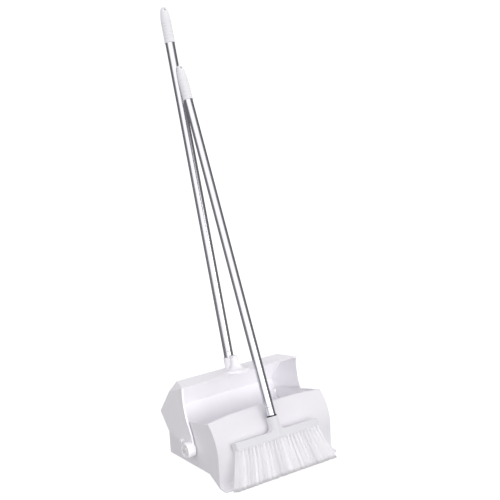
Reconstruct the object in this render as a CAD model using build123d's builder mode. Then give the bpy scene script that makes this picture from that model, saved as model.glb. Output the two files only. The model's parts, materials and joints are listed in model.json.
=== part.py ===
from build123d import *
import os
from math import atan2, cos, degrees, hypot, radians, sin

# Upright dust pan and brush set: a hooded pan on a long handle, with a long broom leaning on it.
#
# Frame: +Z up from the floor, +X across the pan, -Y towards the person who holds it. The hood and the
# pan's handle turn together about two side pivots. The broom stands in front and leans on the handle.

os.makedirs("parts", exist_ok=True)

# How far joined forms run into each other, and the reach of cutters that go right through
weld = 1.0
cutter_reach = 400.0

# Side pivots
pivot_y = -106.9
pivot_z = 58.3
pin_radius = 3.0
pin_clearance = 0.05
pin_head_radius = 5.2
pin_head_height = 1.8
pin_chamfer = 0.5
pin_cross = (6.4, 1.2)
cross_depth = 1.0
end_gap = 0.2
washer_radius = 8.0
washer_thickness = 2.4
bush_radius = 5.5
barrel_radius = 19.5
barrel_end = 204.0
barrel_ring = 4.0
barrel_hub = 9.0
barrel_recess = 3.0
lug_place = (42.0, 2.0)
lug_size = (9.0, 15.0)
lug_height = 7.0
lug_corner = 3.0

# Scoop, points given as (along Y, up Z) from the pivot axis
floor_drop = -pivot_z
scoop_half = 179.2
scoop_wall = 2.6
lip = (112.4, floor_drop)
mouth_edge = (118.0, 1.2)
wall_corner = (119.0, 34.7)
panel_radius = 116.0
panel_top_angle = 37.2
panel_crest_angle = 32.0
heel_crease = (-115.9, -4.4)
heel_foot = (-120.7, floor_drop)
flange_tip = -146.6
flange_fillet = 9.0
flange_corner = 8.0
lip_edge = 0.7
lip_bevel = (18.0, 3.8)
lip_cut = (3.0, 9.0)
crest_lap = 0.5
ramp_crest = (-75.0, floor_drop + 19.9)
scoop_boss_radius = 9.0
scoop_boss_depth = 9.0
scoop_boss_floor = 2.0

# Hood, points from the pivot axis in the same way
hood_half = 185.0
hood_wall = 3.0
rim_top = (37.3, 150.4)
rim_curve = [(27.5, 93.0), (9.0, 56.0), (-9.0, 20.0)]
band_rear = (99.8, 143.6)
band_rear_half = 164.0
facet_rear = (103.7, 119.2)
rear_crease = (150.9, 47.3)
slot_top = (126.8, 23.0)
slot_width = 7.5
slot_length = 40.0
slot_half_depth = 10.0
side_corner = (110.9, 7.0)
flap_drop = 20.0
flap_lap = 5.0
side_tail = (14.0, -13.0)
front_foot = (-9.0, -6.0)
rim_tangents = [(-0.05, -1), (-0.25, -1)]
rim_bead = 4.5
rim_bead_width = 3.5
rim_undercut = 2.6
rim_edge = 0.4

# Pan handle: foot point of its tube on the hood, and how far it leans back
handle_foot = (97.7, 171.7)
handle_lean = 18.37
pan_tube_radius = 12.5
tube_wall = 1.0
collar_radius = 15.5
collar_top = 1.0
collar_bottom = -46.0
collar_floor = 3.0
collar_inset = 6.0
buttress_radius = 10.5
buttress_offset = 24.0
buttress_top = 5.0
buttress_flare = 22.0
buttress_drop = 38.0
buttress_round = 5.0
buttress_root = 25.0
tube_groove = 18.0
groove_radius = 0.7
pan_grip_start = 862.0
plug_length = 34.0
screw_height = -22.0
screw_radius = 2.0
screw_seat = 14.8
screw_seat_gap = 0.6
screw_seat_depth = 3.0
screw_head = (3.6, 1.8)
screw_round = 0.8
screw_cross = (4.2, 0.9)
screw_length = 14.0

# Hand grips, the same on both handles
grip_length = 98.0
grip_wall = 1.2
grip_bead = 0.3
grip_bead_height = 2.0
grip_bead_blend = 4.0
grip_rib_count = 6
grip_rib_pitch = 8.0
grip_rib_curve = 6.0
grip_rib_depth = 0.35
grip_taper = 42.0
grip_cap = 42.0
grip_crown = [(2.6, 16.0), (6.2, 2.4), (8.0, 0.5), (10.4, 0.0)]
grip_flat_height = 14.0
grip_flat_half = 6.5
grip_cut = 20.0
hang_hole_radius = 3.0
hang_hole_drop = 7.5

# Broom: middle of its block's underside, lean, turn, and the sizes of the head
block_middle = (-12.6, -131.9, 33.5)
broom_lean = 27.12
broom_turn = -1.84
block_length = 254.0
block_depth = 26.0
block_height = 17.6
block_corner = 6.0
broom_tube_radius = 11.75
broom_tube_start = 24.0
broom_socket_radius = 15.0
broom_socket_top = 54.0
socket_flare = 13.0
socket_round = 1.5
flare_root = 3.0
broom_groove = 78.0
stud_radius = 7.0
stud_bottom = 15.0
broom_plug_top = 56.0
seal_ring = (12.9, 3.4)
broom_grip_start = 910.0
bristle_length = 94.0
bristle_fan = 31.0
bristle_spread = 1.25
row_count = 4
row_pitch = 6.2
row_length = 248.0
row_thickness = 5.2
tufts_per_row = 24
tuft_pitch = 10.4
tuft_radius = 1.9
tuft_hole_depth = 12.0
anchor_size = (3.2, 0.6, 1.4)


def from_pivot(point, x=0.0):
    """A point given as (along Y, up Z) from the pivot axis, in the part's own frame."""
    return (x, pivot_y + point[0], pivot_z + point[1])


def polar(radius, angle):
    """A point on a circle about the pivot, its angle counted from straight up towards -Y."""
    return (-radius * sin(radians(angle)), radius * cos(radians(angle)))


def step(first, second, distance):
    """The point a distance along the way from the first point to the second."""
    span = hypot(second[0] - first[0], second[1] - first[1])
    share = distance / span
    return (first[0] + (second[0] - first[0]) * share, first[1] + (second[1] - first[1]) * share)


def wall_plane(first, second):
    """The plane across the hood through two points of its outline, facing outwards."""
    return Plane(
        origin=from_pivot(first), x_dir=(1, 0, 0), z_dir=(0, first[1] - second[1], second[0] - first[0])
    )


def lengthwise(base):
    """The plane through a handle's axis, for a profile that is turned about it."""
    return Plane(origin=base.origin, x_dir=base.x_dir, z_dir=-base.y_dir)


def save(piece, name):
    """Labels a finished piece and writes it to its own file."""
    piece.part.label = name
    export_step(piece.part, f"parts/{name}.step")


side = Plane(origin=from_pivot((0, 0)), x_dir=(0, 1, 0), z_dir=(1, 0, 0))
handle = Plane(
    origin=from_pivot(handle_foot),
    x_dir=(1, 0, 0),
    z_dir=(0, sin(radians(handle_lean)), cos(radians(handle_lean))),
)
lean, turn = radians(broom_lean), radians(broom_turn)
head = Plane(
    origin=(block_middle[0], pivot_y + block_middle[1], pivot_z + block_middle[2]),
    x_dir=(cos(turn), sin(turn), 0),
    z_dir=(-sin(turn) * sin(lean), cos(turn) * sin(lean), cos(lean)),
)

# ---------------------------------------------------------------- scoop
panel_top = polar(panel_radius, panel_top_angle)
crease_angle = degrees(atan2(-heel_crease[0], heel_crease[1]))
panel_middle = polar(panel_radius, (panel_top_angle + crease_angle) / 2)

with BuildPart() as crest:
    # the back panel's top edge rises a little towards its middle
    with BuildSketch(side):
        with BuildLine():
            inner = panel_radius - scoop_wall
            low, high = panel_top_angle + crest_lap, panel_crest_angle
            middle = (low + high) / 2
            outer_arc = ThreePointArc(
                polar(panel_radius, low), polar(panel_radius, middle), polar(panel_radius, high)
            )
            inner_arc = ThreePointArc(polar(inner, low), polar(inner, middle), polar(inner, high))
            Line(outer_arc @ 0, inner_arc @ 0)
            Line(outer_arc @ 1, inner_arc @ 1)
        make_face()
    extrude(amount=scoop_half, both=True)
    with BuildSketch(Plane.XZ):
        with BuildLine():
            base_z = pivot_z + panel_top[1]
            under_z = base_z - scoop_half
            crest_z = pivot_z + polar(panel_radius, panel_crest_angle)[1]
            ThreePointArc((-scoop_half, base_z), (0, crest_z), (scoop_half, base_z))
            Polyline(
                (scoop_half, base_z), (scoop_half, under_z), (-scoop_half, under_z), (-scoop_half, base_z)
            )
        make_face()
    extrude(amount=cutter_reach, both=True, mode=Mode.INTERSECT)

with BuildPart() as scoop:
    with BuildSketch(side):
        with BuildLine():
            ThreePointArc(panel_top, panel_middle, heel_crease)
            Polyline(heel_crease, heel_foot, ramp_crest, lip, mouth_edge, wall_corner, panel_top)
        make_face()
    extrude(amount=scoop_half, both=True)
    open_faces = [f for f in scoop.faces() if f.normal_at().Y > 0.5 or f.normal_at().Z > 0.5]
    offset(amount=-scoop_wall, openings=open_faces, kind=Kind.INTERSECTION)
    add(crest.part)
    # foot flange along the heel, blended into the panel
    flange_top = floor_drop + scoop_wall
    root = heel_foot[0] + weld
    arc_share = 1 - cos(radians(45))
    with BuildSketch(side):
        with BuildLine():
            Polyline(
                (root, floor_drop),
                (flange_tip, floor_drop),
                (flange_tip, flange_top),
                (heel_foot[0] - flange_fillet, flange_top),
            )
            ThreePointArc(
                (heel_foot[0] - flange_fillet, flange_top),
                (heel_foot[0] - arc_share * flange_fillet, flange_top + arc_share * flange_fillet),
                (heel_foot[0], flange_top + flange_fillet),
            )
            Polyline(
                (heel_foot[0], flange_top + flange_fillet),
                (root, flange_top + flange_fillet),
                (root, floor_drop),
            )
        make_face()
    extrude(amount=scoop_half, both=True)
    flange_end = pivot_y + flange_tip + weld
    upright_edges = scoop.edges().filter_by(Axis.Z)
    fillet(upright_edges.filter_by(lambda e: e.center().Y < flange_end), radius=flange_corner)
    # the lip is thinned to a scraping edge
    bevel_run, bevel_rise = lip_bevel
    with BuildSketch(side):
        with BuildLine():
            Polyline(
                (lip[0] + lip_cut[0], floor_drop + lip_edge),
                (lip[0] - bevel_run, floor_drop + lip_edge + bevel_rise),
                (lip[0] - bevel_run, floor_drop + lip_cut[1]),
                (lip[0] + lip_cut[0], floor_drop + lip_cut[1]),
                close=True,
            )
        make_face()
    extrude(amount=scoop_half - scoop_wall, both=True, mode=Mode.SUBTRACT)
    # bosses inside the side walls take the pivot pins
    for sign in (-1, 1):
        inner_face = side.offset(sign * (scoop_half - scoop_wall - scoop_boss_depth))
        with BuildSketch(inner_face):
            Circle(scoop_boss_radius)
        extrude(amount=sign * (scoop_boss_depth + weld))
        with BuildSketch(inner_face.offset(sign * scoop_boss_floor)):
            Circle(pin_radius)
        extrude(amount=sign * scoop_boss_depth * 2, mode=Mode.SUBTRACT)
save(scoop, "scoop")

# ---------------------------------------------------------------- hood
band_plane = wall_plane(rim_top, band_rear)
rear_plane = wall_plane(band_rear, rear_crease)
flap_plane = wall_plane(rear_crease, side_corner)
facet_planes = []
for sign in (-1, 1):
    front = Vector(*from_pivot(rim_top, sign * hood_half))
    top = Vector(*from_pivot(band_rear, sign * band_rear_half))
    rear = Vector(*from_pivot(facet_rear, sign * hood_half))
    low = Vector(*from_pivot(rear_crease, sign * hood_half))
    for corner, second, third in ((front, top, rear), (top, low, rear)):
        normal = (second - corner).cross(third - corner)
        if normal.X * sign < 0:
            normal = -normal
        facet_planes.append(Plane(origin=corner, z_dir=normal))

buttress = Plane(
    origin=handle.from_local_coords((0, -buttress_offset, 0)), x_dir=handle.x_dir, z_dir=handle.z_dir
)
screw_plane = Plane(
    origin=handle.from_local_coords((0, 0, screw_height)), x_dir=handle.x_dir, z_dir=handle.y_dir
)

tube_foot = collar_bottom + collar_floor

with BuildPart() as socket:
    # round collar for the tube, with a flared buttress in front of it
    with BuildSketch(handle.offset(collar_bottom)):
        Circle(collar_radius)
    extrude(amount=collar_top - collar_bottom)
    flare_out = buttress_radius + buttress_flare
    foot_z = buttress_top - buttress_drop
    root_z = foot_z - buttress_root
    with BuildSketch(lengthwise(buttress)):
        with BuildLine():
            Polyline((0, root_z), (flare_out, root_z), (flare_out, foot_z))
            RadiusArc((flare_out, foot_z), (buttress_radius, foot_z + buttress_flare), buttress_flare)
            Line((buttress_radius, foot_z + buttress_flare), (buttress_radius, buttress_top - buttress_round))
            RadiusArc(
                (buttress_radius, buttress_top - buttress_round),
                (buttress_radius - buttress_round, buttress_top),
                -buttress_round,
            )
            Polyline((buttress_radius - buttress_round, buttress_top), (0, buttress_top), (0, root_z))
        make_face()
    revolve(axis=Axis(buttress.origin, buttress.z_dir))
    split(bisect_by=band_plane.offset(-hood_wall / 2), keep=Keep.TOP)

with BuildPart() as hood_hollow:
    # the space inside the walls, open to the front and below
    with BuildSketch(side):
        Rectangle(2 * cutter_reach, 2 * cutter_reach)
    extrude(amount=hood_half - hood_wall, both=True)
    for plane in (band_plane, rear_plane, flap_plane, *facet_planes):
        split(bisect_by=plane.offset(-hood_wall), keep=Keep.BOTTOM)

with BuildPart() as hood_shell:
    with BuildSketch(side):
        with BuildLine():
            Spline(rim_top, *rim_curve, tangents=rim_tangents)
            Polyline(rim_curve[-1], front_foot, side_tail, side_corner, rear_crease, band_rear, rim_top)
        make_face()
    extrude(amount=hood_half, both=True)
    # the two rear corners are cut off by a top facet and a rear facet
    for plane in facet_planes:
        split(bisect_by=plane, keep=Keep.BOTTOM)
    add(hood_hollow.part, mode=Mode.SUBTRACT)
    # slots at both ends of the rear flap let the scoop's side walls pass as the flap closes the mouth
    slot_end = step(slot_top, side_corner, slot_length)
    for sign in (-1, 1):
        with BuildSketch(side.offset(sign * (hood_half - hood_wall - slot_width))):
            with BuildLine():
                Polyline(
                    (slot_top[0] + slot_half_depth, slot_top[1] - slot_half_depth),
                    (slot_top[0] - slot_half_depth, slot_top[1] + slot_half_depth),
                    (slot_end[0] - slot_half_depth, slot_end[1] + slot_half_depth),
                    (slot_end[0] + slot_half_depth, slot_end[1] - slot_half_depth),
                    close=True,
                )
            make_face()
        extrude(amount=sign * slot_width, mode=Mode.SUBTRACT)
    # between the slots the flap reaches lower than the side walls
    flap_root = step(side_corner, rear_crease, flap_lap)
    flap_foot = step(side_corner, rear_crease, -flap_drop)
    inward = -flap_plane.z_dir * hood_wall
    with BuildSketch(side):
        with BuildLine():
            Polyline(
                flap_root,
                flap_foot,
                (flap_foot[0] + inward.Y, flap_foot[1] + inward.Z),
                (flap_root[0] + inward.Y, flap_root[1] + inward.Z),
                close=True,
            )
        make_face()
    extrude(amount=hood_half - hood_wall - slot_width, both=True)
    # the band's front edge is undercut, so that it ends in a thin shaded line
    with BuildSketch(side):
        with BuildLine():
            Polyline(
                (rim_top[0] - weld, rim_top[1] - rim_edge),
                (rim_top[0], rim_top[1] - rim_edge),
                (rim_top[0] + rim_undercut, rim_top[1] - hood_wall - weld),
                (rim_top[0] - weld, rim_top[1] - hood_wall - weld),
                close=True,
            )
        make_face()
    extrude(amount=hood_half - hood_wall, both=True, mode=Mode.SUBTRACT)
    add(socket.part)
    with BuildSketch(handle.offset(collar_bottom)):
        Circle(collar_radius)
    extrude(amount=collar_top - collar_bottom - collar_inset)
    with BuildSketch(handle.offset(tube_foot)):
        Circle(pan_tube_radius)
    extrude(amount=cutter_reach, mode=Mode.SUBTRACT)
    # seat and hole for the screw that holds the tube
    with BuildSketch(screw_plane.offset(screw_seat)):
        Circle(screw_head[0] + screw_seat_gap)
    extrude(amount=screw_seat_depth, mode=Mode.SUBTRACT)
    with BuildSketch(screw_plane):
        Circle(screw_radius)
    extrude(amount=collar_radius, mode=Mode.SUBTRACT)
    for sign in (-1, 1):
        # bead down the front edge of the side wall
        with BuildSketch(side.offset(sign * (hood_half - hood_wall / 2))):
            with BuildLine():
                edge = Spline(rim_top, *rim_curve, tangents=rim_tangents)
                shifted = Spline(
                    (rim_top[0] + rim_bead, rim_top[1]),
                    *[(y + rim_bead, z) for y, z in rim_curve],
                    tangents=rim_tangents,
                )
                Line(edge @ 0, shifted @ 0)
                Line(edge @ 1, shifted @ 1)
            make_face()
        extrude(amount=sign * rim_bead_width)
        # pivot barrel with a raised ring round its recessed end, and the click lug behind it
        wall_face = side.offset(sign * (hood_half - hood_wall))
        with BuildSketch(wall_face):
            Circle(barrel_radius)
        extrude(amount=sign * (barrel_end - hood_half + hood_wall))
        with BuildSketch(side.offset(sign * (barrel_end - barrel_recess))):
            Circle(barrel_radius - barrel_ring)
            Circle(barrel_hub, mode=Mode.SUBTRACT)
        extrude(amount=sign * barrel_recess, mode=Mode.SUBTRACT)
        with BuildSketch(wall_face):
            with Locations(lug_place):
                RectangleRounded(*lug_size, lug_corner)
        extrude(amount=sign * (hood_wall + lug_height))
        with BuildSketch(side.offset(sign * (hood_half - hood_wall - weld))):
            Circle(bush_radius)
        extrude(amount=sign * cutter_reach, mode=Mode.SUBTRACT)
save(hood_shell, "hood_shell")

# ---------------------------------------------------------------- pivot pins, washers and bushes
boss_floor = scoop_half - scoop_wall - scoop_boss_depth + scoop_boss_floor
for sign, hand in ((-1, "left"), (1, "right")):
    with BuildPart() as pivot_pin:
        with BuildSketch(side.offset(sign * boss_floor)):
            Circle(pin_radius)
        extrude(amount=sign * (barrel_end + end_gap - boss_floor))
        with BuildSketch(side.offset(sign * (barrel_end + end_gap))):
            Circle(pin_head_radius)
        extrude(amount=sign * pin_head_height)
        chamfer(pivot_pin.faces().sort_by(Axis.X)[-1 if sign > 0 else 0].edges(), length=pin_chamfer)
        with BuildSketch(side.offset(sign * (barrel_end + end_gap + pin_head_height))):
            Rectangle(*pin_cross)
            Rectangle(*pin_cross[::-1])
        extrude(amount=-sign * cross_depth, mode=Mode.SUBTRACT)
    save(pivot_pin, f"pivot_pin_{hand}")

    with BuildPart() as pivot_washer:
        with BuildSketch(side.offset(sign * scoop_half)):
            Circle(washer_radius)
            Circle(pin_radius, mode=Mode.SUBTRACT)
        extrude(amount=sign * washer_thickness)
    save(pivot_washer, f"pivot_washer_{hand}")

    with BuildPart() as pivot_bush:
        with BuildSketch(side.offset(sign * (hood_half - hood_wall + end_gap))):
            Circle(bush_radius)
            Circle(pin_radius + pin_clearance, mode=Mode.SUBTRACT)
        extrude(amount=sign * (barrel_end - hood_half + hood_wall - 2 * end_gap))
    save(pivot_bush, f"pivot_bush_{hand}")


# ---------------------------------------------------------------- handles
def make_tube(base, start, end, radius, groove):
    """A drawn tube along the plane's normal, with a shallow rolled groove near its foot."""
    with BuildPart() as tube:
        with BuildSketch(base.offset(start)):
            Circle(radius)
            Circle(radius - tube_wall, mode=Mode.SUBTRACT)
        extrude(amount=end - start)
        with BuildSketch(lengthwise(base)):
            with Locations((radius, groove)):
                Circle(groove_radius)
        revolve(axis=Axis(base.origin, base.z_dir), mode=Mode.SUBTRACT)
    return tube


def make_grip(base, start, radius):
    """A moulded sleeve closed at its top, where two flats carry a hole to hang it by."""
    end = start + grip_length
    outer = radius + grip_wall
    bead = outer + grip_bead
    bead_end = start + grip_bead_height
    sleeve_start = start + grip_bead_blend
    crown = [(outer - inset, end - drop) for inset, drop in grip_crown]
    with BuildPart() as grip:
        with BuildSketch(lengthwise(base)):
            with BuildLine():
                Polyline((0, start), (bead, start), (bead, bead_end), (outer, sleeve_start))
                Line((outer, sleeve_start), (outer, end - grip_taper))
                Spline((outer, end - grip_taper), crown[0], crown[1], tangents=[(0, 1), (-0.5, 1)])
                ThreePointArc(*crown[1:])
                Polyline(crown[-1], (0, end), (0, start))
            make_face()
        revolve(axis=Axis(base.origin, base.z_dir))
        # shallow rings round the sleeve for a firm hold
        rings_middle = (sleeve_start + end - grip_taper) / 2
        with BuildSketch(lengthwise(base)):
            with Locations((outer + grip_rib_curve - grip_rib_depth, rings_middle)):
                with GridLocations(1, grip_rib_pitch, 1, grip_rib_count):
                    Circle(grip_rib_curve)
        revolve(axis=Axis(base.origin, base.z_dir), mode=Mode.SUBTRACT)
        with BuildSketch(base.offset(start)):
            Circle(radius)
        extrude(amount=grip_length - grip_cap, mode=Mode.SUBTRACT)
        with BuildSketch(base.offset(end - grip_flat_height)):
            cut_middle = grip_flat_half + grip_cut / 2
            with Locations((0, cut_middle), (0, -cut_middle)):
                Rectangle(2 * grip_cut, grip_cut)
        extrude(amount=grip_cut, mode=Mode.SUBTRACT)
        hole = Plane(
            origin=base.from_local_coords((0, 0, end - hang_hole_drop)), x_dir=base.x_dir, z_dir=base.y_dir
        )
        with BuildSketch(hole):
            Circle(hang_hole_radius)
        extrude(amount=grip_cut, both=True, mode=Mode.SUBTRACT)
    return grip


tube_reach = grip_length - grip_cap - end_gap
with BuildPart() as pan_handle_tube:
    add(make_tube(handle, tube_foot, pan_grip_start + tube_reach, pan_tube_radius, tube_groove).part)
    with BuildSketch(screw_plane):
        Circle(screw_radius)
    extrude(amount=collar_radius, mode=Mode.SUBTRACT)
save(pan_handle_tube, "pan_handle_tube")
save(make_grip(handle, pan_grip_start, pan_tube_radius), "pan_handle_grip")

with BuildPart() as pan_handle_plug:
    # plug that stiffens the tube's foot and takes the screw's thread
    with BuildSketch(handle.offset(tube_foot)):
        Circle(pan_tube_radius - tube_wall)
    extrude(amount=plug_length)
    with BuildSketch(screw_plane):
        Circle(screw_radius)
    extrude(amount=collar_radius, mode=Mode.SUBTRACT)
save(pan_handle_plug, "pan_handle_plug")

with BuildPart() as pan_handle_screw:
    with BuildSketch(screw_plane.offset(screw_seat)):
        Circle(screw_radius)
    extrude(amount=-screw_length)
    with BuildSketch(screw_plane.offset(screw_seat)):
        Circle(screw_head[0])
    extrude(amount=screw_head[1])
    screw_edges = pan_handle_screw.edges().sort_by(Axis(screw_plane.origin, screw_plane.z_dir))
    fillet(screw_edges[-1], radius=screw_round)
    with BuildSketch(screw_plane.offset(screw_seat + screw_head[1])):
        Rectangle(*screw_cross)
        Rectangle(*screw_cross[::-1])
    extrude(amount=-cross_depth, mode=Mode.SUBTRACT)
save(pan_handle_screw, "pan_handle_screw")

save(
    make_tube(head, broom_tube_start, broom_grip_start + tube_reach, broom_tube_radius, broom_groove),
    "broom_handle_tube",
)
save(make_grip(head, broom_grip_start, broom_tube_radius), "broom_handle_grip")

with BuildPart() as broom_handle_plug:
    # plug pressed into the tube, with a stud that fits the block
    with BuildSketch(head.offset(stud_bottom)):
        Circle(stud_radius)
    extrude(amount=broom_tube_start - stud_bottom)
    with BuildSketch(head.offset(broom_tube_start)):
        Circle(broom_tube_radius - tube_wall)
    extrude(amount=broom_plug_top - broom_tube_start)
save(broom_handle_plug, "broom_handle_plug")

# ---------------------------------------------------------------- broom head
row_places = [(row - (row_count - 1) / 2) * row_pitch for row in range(row_count)]

with BuildPart() as socket_flare_form:
    # the socket spreads lengthwise into the block and is no deeper than the block where it meets it
    flare_out = broom_socket_radius + socket_flare
    root_z = block_height - flare_root
    with BuildSketch(lengthwise(head)):
        with BuildLine():
            Polyline((0, root_z), (flare_out, root_z), (flare_out, block_height))
            RadiusArc(
                (flare_out, block_height), (broom_socket_radius, block_height + socket_flare), socket_flare
            )
            Line((broom_socket_radius, block_height + socket_flare), (0, block_height + socket_flare))
            Line((0, block_height + socket_flare), (0, root_z))
        make_face()
    revolve(axis=Axis(head.origin, head.z_dir))
    with BuildSketch(head):
        Rectangle(4 * flare_out, block_depth)
    extrude(amount=broom_socket_top, mode=Mode.INTERSECT)

with BuildPart() as broom_block:
    with BuildSketch(head):
        RectangleRounded(block_length, block_depth, block_corner)
    extrude(amount=block_height)
    with BuildSketch(head.offset(flare_root)):
        Circle(broom_socket_radius)
    extrude(amount=broom_socket_top - flare_root)
    fillet(broom_block.faces().sort_by(Axis(head.origin, head.z_dir))[-1].edges(), radius=socket_round)
    add(socket_flare_form.part)
    with BuildSketch(head.offset(stud_bottom)):
        Circle(stud_radius)
    extrude(amount=cutter_reach, mode=Mode.SUBTRACT)
    with BuildSketch(head.offset(broom_tube_start)):
        Circle(broom_tube_radius)
    extrude(amount=cutter_reach, mode=Mode.SUBTRACT)
    with BuildSketch(head):
        with GridLocations(tuft_pitch, row_pitch, tufts_per_row, row_count):
            Circle(tuft_radius)
    extrude(amount=tuft_hole_depth, mode=Mode.SUBTRACT)
save(broom_block, "broom_block")

with BuildPart() as broom_seal_ring:
    with BuildSketch(head.offset(broom_socket_top)):
        Circle(seal_ring[0])
        Circle(broom_tube_radius, mode=Mode.SUBTRACT)
    extrude(amount=seal_ring[1])
save(broom_seal_ring, "broom_seal_ring")

for number, place in enumerate(row_places, start=1):
    with BuildPart() as bristle_row:
        # one closed solid for a row of tufts: the fanned filaments, and their roots in the block's holes
        with BuildSketch(head):
            with Locations((0, place)):
                Rectangle(row_length, row_thickness)
        with BuildSketch(head.offset(-bristle_length)):
            with Locations((0, place * bristle_spread)):
                Rectangle(block_length + 2 * bristle_fan, row_thickness * bristle_spread)
        loft()
        with BuildSketch(head):
            with Locations((0, place)):
                with GridLocations(tuft_pitch, row_pitch, tufts_per_row, 1):
                    Circle(tuft_radius)
        extrude(amount=tuft_hole_depth - anchor_size[2])
    save(bristle_row, f"bristle_row_{number}")

with BuildPart() as tuft_anchors:
    # the wire staples that hold the folded tufts at the bottom of their holes
    with BuildSketch(head.offset(tuft_hole_depth - anchor_size[2])):
        with GridLocations(tuft_pitch, row_pitch, tufts_per_row, row_count):
            Rectangle(anchor_size[0], anchor_size[1])
    extrude(amount=anchor_size[2])
save(tuft_anchors, "tuft_anchors")
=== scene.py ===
"""Upright dust pan and brush set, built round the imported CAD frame. Metres, +Z up, mouth towards +Y."""

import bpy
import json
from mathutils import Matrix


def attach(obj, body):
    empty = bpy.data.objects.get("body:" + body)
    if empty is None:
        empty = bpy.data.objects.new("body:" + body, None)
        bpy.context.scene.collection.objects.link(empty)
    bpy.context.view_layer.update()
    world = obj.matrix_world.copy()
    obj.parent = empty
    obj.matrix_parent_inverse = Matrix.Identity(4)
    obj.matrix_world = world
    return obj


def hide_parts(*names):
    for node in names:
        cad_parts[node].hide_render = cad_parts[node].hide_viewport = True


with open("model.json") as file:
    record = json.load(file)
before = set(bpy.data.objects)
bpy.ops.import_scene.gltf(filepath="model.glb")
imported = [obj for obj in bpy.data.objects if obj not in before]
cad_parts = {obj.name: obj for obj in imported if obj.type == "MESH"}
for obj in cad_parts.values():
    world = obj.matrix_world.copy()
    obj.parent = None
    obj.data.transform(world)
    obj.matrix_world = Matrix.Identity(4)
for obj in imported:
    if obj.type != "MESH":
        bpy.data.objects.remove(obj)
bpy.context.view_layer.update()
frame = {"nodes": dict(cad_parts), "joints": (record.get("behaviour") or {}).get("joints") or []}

import json
import math

import bmesh
import bpy
import numpy as np
from mathutils import Vector

# ------------------------------------------------------------------ camera
# Stands in front and to the left of the pan at a person's shoulder height and looks down on it. Its
# place is counted from the foot of the pivot line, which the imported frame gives.
hinge = next(joint for joint in frame["joints"] if joint["name"] == "hood_hinge")
pivot = Vector(hinge["pos_m"])
camera_from_pivot = Vector((-1.2002, -1.6475, 1.0719))
camera_tilt, camera_turn = math.radians(75.59), math.radians(-36.04)
camera_data = bpy.data.cameras.new("camera")
camera_data.lens = 60.53
camera_data.sensor_width = 36.0
camera = bpy.data.objects.new("camera", camera_data)
camera.location = camera_from_pivot + Vector((pivot.x, pivot.y, 0))
camera.rotation_euler = (camera_tilt, 0, camera_turn)
bpy.context.scene.collection.objects.link(camera)
bpy.context.scene.camera = camera

# ------------------------------------------------------------------ studio
# A plain white floor that runs out of sight, an even white surround, a large soft key light low in
# front, a weak light above, and one light for the hood alone. Polished metal sees a darker room with
# one white screen, and the floor is brighter to the camera than to the walls.


def linear(hex_colour):
    """The linear colour of an sRGB hex value: each channel c becomes ((c + 0.055) / 1.055) ** 2.4."""
    srgb = [int(hex_colour[i : i + 2], 16) / 255 for i in (0, 2, 4)]
    return [c / 12.92 if c < 0.04045 else ((c + 0.055) / 1.055) ** 2.4 for c in srgb] + [1.0]


def add_node(tree, kind, settings=None, values=None, links=None):
    """Adds a node, with its settings, its input values and the sockets linked into it."""
    node = tree.nodes.new(kind)
    for key, value in (settings or {}).items():
        setattr(node, key, value)
    for key, value in (values or {}).items():
        node.inputs[key].default_value = value
    for key, socket in (links or {}).items():
        tree.links.new(socket, node.inputs[key])
    return node


def mesh_object(name, points, faces, smooth=True):
    """A new object at the origin whose mesh has these points and faces."""
    mesh = bpy.data.meshes.new(name)
    mesh.from_pydata(np.asarray(points).tolist(), [], np.asarray(faces).tolist())
    mesh.polygons.foreach_set("use_smooth", np.full(len(mesh.polygons), smooth))
    mesh.update()
    made = bpy.data.objects.new(name, mesh)
    bpy.context.scene.collection.objects.link(made)
    return made


floor_half = 12.0
floor_seen, floor_for_walls, floor_mirrored = 0.95, 0.3, 0.03
floor_points = [(x * floor_half, y * floor_half, 0) for x, y in ((-1, -1), (1, -1), (1, 1), (-1, 1))]
floor = mesh_object("floor", floor_points, [(0, 1, 2, 3)], smooth=False)
floor_paint = bpy.data.materials.new("lit_white_floor")
floor_paint.use_nodes = True
tree = floor_paint.node_tree
floor_shader = tree.nodes["Principled BSDF"]
floor_shader.inputs["Base Color"].default_value = linear("7E7E80")
floor_shader.inputs["Roughness"].default_value = 0.9
floor_shader.inputs["Specular IOR Level"].default_value = 0.0
floor_shader.inputs["Emission Color"].default_value = linear("FFFFFF")
path = add_node(tree, "ShaderNodeLightPath")
glow_for_walls = add_node(
    tree,
    "ShaderNodeMapRange",
    values={"To Min": floor_for_walls, "To Max": floor_mirrored},
    links={"Value": path.outputs["Is Glossy Ray"]},
)
glow = add_node(
    tree,
    "ShaderNodeMapRange",
    values={"To Max": floor_seen},
    links={"Value": path.outputs["Is Camera Ray"], "To Min": glow_for_walls.outputs[0]},
)
tree.links.new(glow.outputs[0], floor_shader.inputs["Emission Strength"])
floor.data.materials.append(floor_paint)

world = bpy.data.worlds.new("studio")
bpy.context.scene.world = world
world.use_nodes = True
tree = world.node_tree
tree.nodes.clear()
path = add_node(tree, "ShaderNodeLightPath")
backdrop_strength, surround_strength = 1.05, 0.86
screen_dark, screen_white = 0.18, 1.5
seen = add_node(
    tree, "ShaderNodeBackground", values={"Color": linear("FFFFFF"), "Strength": backdrop_strength}
)
around = add_node(
    tree, "ShaderNodeBackground", values={"Color": linear("FAF8FC"), "Strength": surround_strength}
)
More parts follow.
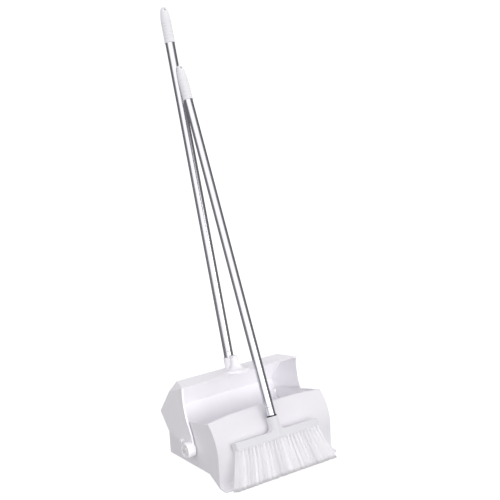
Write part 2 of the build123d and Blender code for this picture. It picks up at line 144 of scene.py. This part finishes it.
# what bright metal mirrors: a soft white screen high behind the viewer, and a dark room elsewhere
direction = add_node(tree, "ShaderNodeTexCoord")
towards_screen = add_node(
    tree,
    "ShaderNodeVectorMath",
    {"operation": "DOT_PRODUCT"},
    {1: (-0.54, -0.73, 0.42)},
    {0: direction.outputs["Generated"]},
)
screen = add_node(
    tree,
    "ShaderNodeMapRange",
    {"interpolation_type": "SMOOTHSTEP"},
    {"From Min": 0.3, "From Max": 0.84, "To Min": screen_dark, "To Max": screen_white},
    {"Value": towards_screen.outputs["Value"]},
)
mirrored = add_node(
    tree, "ShaderNodeBackground", values={"Color": linear("F2F2F6")}, links={"Strength": screen.outputs[0]}
)
room = add_node(
    tree,
    "ShaderNodeMixShader",
    links={0: path.outputs["Is Glossy Ray"], 1: around.outputs[0], 2: mirrored.outputs[0]},
)
mix = add_node(
    tree,
    "ShaderNodeMixShader",
    links={0: path.outputs["Is Camera Ray"], 1: room.outputs[0], 2: seen.outputs[0]},
)
add_node(tree, "ShaderNodeOutputWorld", links={"Surface": mix.outputs[0]})


def add_light(name, place, aim, size, power):
    """A rectangular area light at a place, turned to face a point. It doesn't show in reflections."""
    data = bpy.data.lights.new(name, "AREA")
    data.shape = "RECTANGLE"
    data.size, data.size_y = size
    data.energy = power
    data.specular_factor = 0.0
    light = bpy.data.objects.new(name, data)
    light.location = place
    light.rotation_euler = (Vector(aim) - Vector(place)).to_track_quat("-Z", "Y").to_euler()
    bpy.context.scene.collection.objects.link(light)
    return light


pan_middle = (0, pivot.y, 0.15)
add_light("key", (0.2, -3.6, 1.3), pan_middle, (2.2, 1.4), 25)
add_light("top", (0.5, 0.3, 3.2), pan_middle, (2.0, 2.0), 8)
hood_light = add_light("into_the_hood", (-0.25, -2.2, 0.95), pan_middle, (1.6, 0.7), 24)
hood_only = bpy.data.collections.new("lit_by_hood_light")
hood_light.light_linking.receiver_collection = hood_only
bpy.context.scene.cycles.diffuse_bounces = 8
bpy.context.scene.view_settings.view_transform = "Standard"

# ------------------------------------------------------------------ scoop
# The floor ramp, curved back panel, side walls and heel flange are one thin moulding of white
# polypropylene, taken from a steel mould with a fine satin texture.
MM = 0.001
crease = math.radians(24)
flat = math.radians(0.6)


def smooth_skin(node, bevel=0.0):
    """A welded copy of a CAD node that shades smoothly up to its creases, which can be rounded."""
    mesh = bpy.data.meshes.new(f"{node}_skin")
    form = bmesh.new()
    form.from_mesh(frame["nodes"][node].data)
    bmesh.ops.remove_doubles(form, verts=form.verts, dist=0.002 * MM)
    bmesh.ops.dissolve_degenerate(form, edges=form.edges, dist=0.001 * MM)
    bmesh.ops.dissolve_limit(form, angle_limit=flat, verts=form.verts, edges=form.edges)
    for face in form.faces:
        face.smooth = True
    for edge in form.edges:
        edge.smooth = len(edge.link_faces) == 2 and edge.calc_face_angle(0) < crease
    form.to_mesh(mesh)
    form.free()
    skin = bpy.data.objects.new(f"{node}_skin", mesh)
    bpy.context.scene.collection.objects.link(skin)
    if bevel:
        modifier = skin.modifiers.new("rounded_edges", "BEVEL")
        modifier.width = bevel
        modifier.segments = 2
        modifier.limit_method = "ANGLE"
        modifier.angle_limit = crease
        modifier.harden_normals = True
        modifier.use_clamp_overlap = True
    return skin


cloud_size = 62.5


def polypropylene(name, colour, shade, grain=1.1, roughness=0.42):
    """Moulded polypropylene: a milky satin plastic whose surface has a fine pebble from the mould."""
    material = bpy.data.materials.new(name)
    material.use_nodes = True
    tree = material.node_tree
    shader = tree.nodes["Principled BSDF"]
    shader.inputs["IOR"].default_value = 1.49
    shader.inputs["Specular IOR Level"].default_value = 0.5
    place = add_node(tree, "ShaderNodeTexCoord")
    # a slow change of tone, as the wall's thickness and the light inside it vary
    cloud = add_node(
        tree,
        "ShaderNodeTexNoise",
        values={"Scale": 1 / (cloud_size * MM), "Detail": 2.0},
        links={"Vector": place.outputs["Object"]},
    )
    tone = add_node(
        tree,
        "ShaderNodeMix",
        {"data_type": "RGBA"},
        {6: linear(colour), 7: linear(shade)},
        {0: cloud.outputs["Fac"]},
    )
    tree.links.new(tone.outputs[2], shader.inputs["Base Color"])
    # the mould's pebble, drawn about a millimetre across so that it shows
    pebble = add_node(
        tree,
        "ShaderNodeTexNoise",
        values={"Scale": 1 / (grain * MM), "Detail": 2.0},
        links={"Vector": place.outputs["Object"]},
    )
    sheen = add_node(
        tree,
        "ShaderNodeMapRange",
        values={"To Min": roughness - 0.05, "To Max": roughness + 0.08},
        links={"Value": cloud.outputs["Fac"]},
    )
    tree.links.new(sheen.outputs[0], shader.inputs["Roughness"])
    bump = add_node(
        tree,
        "ShaderNodeBump",
        values={"Strength": 0.12, "Distance": 0.15 * MM},
        links={"Height": pebble.outputs["Fac"]},
    )
    tree.links.new(bump.outputs[0], shader.inputs["Normal"])
    return material


pan_plastic = polypropylene("white_moulded_polypropylene", "F8F7F9", "F3F2F5")
scoop = smooth_skin("scoop", bevel=0.7 * MM)
scoop.data.materials.append(pan_plastic)
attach(scoop, "pan")
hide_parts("scoop")

# ------------------------------------------------------------------ hood
# The hood is a second moulding of the same polypropylene: band, rear wall, corner facets, side walls,
# pivot barrels and the handle's socket. It hangs on the scoop by its two side pivots.
hood = smooth_skin("hood_shell", bevel=0.9 * MM)
hood.data.materials.append(pan_plastic)
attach(hood, "hood")
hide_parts("hood_shell")
hood_only.objects.link(hood)

# ------------------------------------------------------------------ pivot pins, bushes and washers
# White acetal pins with a cross recess run in turned acetal bushes, with an acetal washer each side
# between scoop and hood. The handle's screw and the tufts' hidden staples share one bare-metal look.


def dress(material, *nodes):
    """Gives CAD nodes that stay in view a material."""
    for node in nodes:
        mesh = frame["nodes"][node].data
        mesh.materials.clear()
        mesh.materials.append(material)


def bare_metal(name, colour, roughness, stretch, edge="9A9A9E"):
    """Bare metal whose roughness varies in fine lines, long along the way that it was drawn or turned."""
    material = bpy.data.materials.new(name)
    material.use_nodes = True
    tree = material.node_tree
    shader = tree.nodes["Principled BSDF"]
    shader.inputs["Base Color"].default_value = linear(colour)
    shader.inputs["Metallic"].default_value = 1.0
    shader.inputs["Specular Tint"].default_value = linear(edge)
    place = add_node(tree, "ShaderNodeTexCoord")
    drawn = add_node(
        tree, "ShaderNodeMapping", values={"Scale": stretch}, links={"Vector": place.outputs["Object"]}
    )
    lines = add_node(
        tree, "ShaderNodeTexNoise", values={"Scale": 1.0, "Detail": 3.0}, links={"Vector": drawn.outputs[0]}
    )
    rough = add_node(
        tree,
        "ShaderNodeMapRange",
        values={"To Min": roughness * 0.85, "To Max": roughness * 1.2},
        links={"Value": lines.outputs["Fac"]},
    )
    tree.links.new(rough.outputs[0], shader.inputs["Roughness"])
    bump = add_node(
        tree,
        "ShaderNodeBump",
        values={"Strength": 0.04, "Distance": 0.02 * MM},
        links={"Height": lines.outputs["Fac"]},
    )
    tree.links.new(bump.outputs[0], shader.inputs["Normal"])
    return material


stainless = bare_metal("turned_stainless_steel", "C9C7C4", 0.28, (900, 900, 900))
acetal = polypropylene("turned_white_acetal", "EDECE8", "E6E5E1", grain=0.6, roughness=0.3)
dress(stainless, "pan_handle_screw", "tuft_anchors")
dress(acetal, "pivot_pin_left", "pivot_pin_right")
dress(acetal, "pivot_bush_left", "pivot_bush_right", "pivot_washer_left", "pivot_washer_right")
dress(acetal, "pan_handle_plug", "broom_handle_plug")

# ------------------------------------------------------------------ handle tubes
# Both handles are thin drawn aluminium tubes, polished bright and lightly clear-anodised, with one
# shallow rolled groove above the socket. The drawing leaves faint lines along the tube.
bright_aluminium = bare_metal("drawn_bright_aluminium", "E4E4E8", 0.2, (700, 700, 6))
for node, body in (("pan_handle_tube", "hood"), ("broom_handle_tube", "broom")):
    tube = smooth_skin(node)
    tube.data.materials.append(bright_aluminium)
    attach(tube, body)
    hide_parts(node)

# ------------------------------------------------------------------ hand grips
# White soft-touch sleeves pushed over the tubes' ends. Each closes in a flattened tip with a hole.
grip_plastic = polypropylene("white_moulded_grip", "FBFBFC", "F6F6F8", grain=0.9, roughness=0.5)
for node, body in (("pan_handle_grip", "hood"), ("broom_handle_grip", "broom")):
    grip = smooth_skin(node)
    grip.data.materials.append(grip_plastic)
    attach(grip, body)
    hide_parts(node)

# ------------------------------------------------------------------ broom block and ring
# A solid polypropylene block with the handle's socket on top; a black rubber ring lies on its mouth.
block_plastic = polypropylene("white_block_polypropylene", "EFEFF0", "E9E9EB")
block = smooth_skin("broom_block", bevel=0.8 * MM)
block.data.materials.append(block_plastic)
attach(block, "broom")
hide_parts("broom_block")

rubber = bpy.data.materials.new("black_rubber_ring")
rubber.use_nodes = True
rubber_shader = rubber.node_tree.nodes["Principled BSDF"]
rubber_shader.inputs["Base Color"].default_value = linear("161617")
rubber_shader.inputs["Roughness"].default_value = 0.6
dress(rubber, "broom_seal_ring")

# ------------------------------------------------------------------ bristles
# Four rows of 24 tufts. Each tuft is a bundle of white polyester filaments, folded over a staple in
# its hole. The rows spread as they leave the block, and the trimmed ends are frayed. The last tenth
# of each filament is painted greyer towards its tip: painted shade for the shadowed undersides of the tips.
# The filaments' weak glow stands for the light that passes through them.
head_lean, head_turn = math.radians(27.12), math.radians(-1.84)
head_origin = np.array(pivot) + np.array([-12.6, -131.9, 33.5]) * MM
along_block = np.array([math.cos(head_turn), math.sin(head_turn), 0.0])
up_handle = np.array(
    [
        -math.sin(head_turn) * math.sin(head_lean),
        math.cos(head_turn) * math.sin(head_lean),
        math.cos(head_lean),
    ]
)
across_block = np.cross(up_handle, along_block)
head_axes = np.stack([along_block, across_block, up_handle])
row_count, row_pitch = 4, 6.2
tufts_per_row, tuft_pitch = 24, 10.4
filament_length = 93.0
filament_radius, filament_thinning = 0.36, 0.1
tuft_radius, tuft_opening = 1.7, 2.2
tuft_opening_along = (3.2, 4.8)
tuft_lean_along, tuft_lean_across = 1.5, 0.8
row_spread = 0.25
stray_reach, bow_reach, fray_across = 0.35, 0.7, 0.4
trim_spread = 0.012
filaments_per_tuft = 72
filament_rings = 8
end_spread = 31.0 / 127.0
random = np.random.default_rng(11)


def filament_row(name, place):
    """One row's filaments as three-sided rods.

    A filament runs from z = 0 down to its own length. Its distance from the middle of the block grows
    by end_spread times depth to the power 1.25, its tuft leans and opens with depth, and it bows
    sideways as the sine of half a turn. The rod's corners stand at 0, 120 and 240 degrees round it.
    """
    tufts = (np.arange(tufts_per_row) - (tufts_per_row - 1) / 2) * tuft_pitch
    shape = (tufts_per_row, filaments_per_tuft, 1)
    depth = np.linspace(0, 1, filament_rings)[None, None, :]
    turn = np.arange(filaments_per_tuft)[None, :, None] * math.pi * (3 - math.sqrt(5))
    out = np.sqrt((np.arange(filaments_per_tuft) + 0.5) / filaments_per_tuft)[None, :, None]
    lean_x = random.normal(0, tuft_lean_along, (tufts_per_row, 1, 1))
    lean_y = random.normal(0, tuft_lean_across, (tufts_per_row, 1, 1))
    open_x = random.uniform(*tuft_opening_along, (tufts_per_row, 1, 1))
    stray = random.normal(0, 1, shape) ** 3 * stray_reach
    bow = random.normal(0, bow_reach, shape)
    length = filament_length * (1 - np.abs(random.normal(0, trim_spread, shape)))
    x = tufts[:, None, None] * (1 + end_spread * depth**1.25)
    x = x + out * np.cos(turn) * (tuft_radius + (open_x - 0.4) * depth) + lean_x * depth
    x = x + stray * depth**2 + bow * np.sin(math.pi * depth)
    y = place * (1 + row_spread * depth) + out * np.sin(turn) * (tuft_radius + tuft_opening * depth)
    y = y + lean_y * depth + random.normal(0, fray_across, shape) * depth**2
    z = -length * depth
    radius = filament_radius - filament_thinning * depth**3
    corner = np.arange(3) * 2 * math.pi / 3
    ring_x = x[..., None] + radius[..., None] * np.cos(corner)
    ring_y = y[..., None] + radius[..., None] * np.sin(corner)
    ring_z = np.broadcast_to(z[..., None], ring_x.shape)
    local = np.stack([ring_x, ring_y, ring_z], axis=-1).reshape(-1, 3) * MM
    points = head_origin + local @ head_axes
    rods = tufts_per_row * filaments_per_tuft
    start = np.arange(rods)[:, None, None] * filament_rings * 3
    ring_start = start + np.arange(filament_rings - 1)[None, :, None] * 3
    lower = ring_start + np.arange(3)[None, None, :]
    beside = ring_start + np.roll(np.arange(3), -1)[None, None, :]
    sides = np.stack([lower, lower + 3, beside + 3, beside], axis=-1).reshape(-1, 4)
    made = mesh_object(name, points, sides)
    tone = random.uniform(0, 1, shape) * 0.5 + random.uniform(0, 0.5, (tufts_per_row, 1, 1))
    tone = np.broadcast_to(tone + 0 * depth, (tufts_per_row, filaments_per_tuft, filament_rings))
    for label, values in (("tone", tone), ("depth", np.broadcast_to(depth, tone.shape))):
        attribute = made.data.attributes.new(label, "FLOAT", "POINT")
        attribute.data.foreach_set("value", np.repeat(values.reshape(-1), 3).astype(np.float32))
    return made


filament = bpy.data.materials.new("white_polyester_filament")
filament.use_nodes = True
tree = filament.node_tree
filament_shader = tree.nodes["Principled BSDF"]
filament_shader.inputs["Roughness"].default_value = 0.4
filament_shader.inputs["IOR"].default_value = 1.57
filament_shader.inputs["Emission Color"].default_value = linear("F8F7F8")
filament_shader.inputs["Emission Strength"].default_value = 0.21
tone = add_node(tree, "ShaderNodeAttribute", {"attribute_name": "tone"})
depth = add_node(tree, "ShaderNodeAttribute", {"attribute_name": "depth"})
bundle = add_node(
    tree,
    "ShaderNodeMix",
    {"data_type": "RGBA"},
    {6: linear("FFFFFF"), 7: linear("DDDBDF")},
    {0: tone.outputs["Fac"]},
)
# painted shade: over the last tenth of its length each filament is mixed towards the grey A8A6AA, standing
# for the shadow under the tips
painted_tip_shade = add_node(
    tree,
    "ShaderNodeMapRange",
    values={"From Min": 0.9, "From Max": 1.0, "To Min": 0.0, "To Max": 0.8},
    links={"Value": depth.outputs["Fac"]},
)
filament_colour = add_node(
    tree,
    "ShaderNodeMix",
    {"data_type": "RGBA"},
    {7: linear("A8A6AA")},
    {0: painted_tip_shade.outputs[0], 6: bundle.outputs[2]},
)
tree.links.new(filament_colour.outputs[2], filament_shader.inputs["Base Color"])
for number in range(1, row_count + 1):
    row = filament_row(f"bristle_filaments_{number}", (number - (row_count + 1) / 2) * row_pitch)
    row.data.materials.append(filament)
    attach(row, "broom")
    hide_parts(f"bristle_row_{number}")
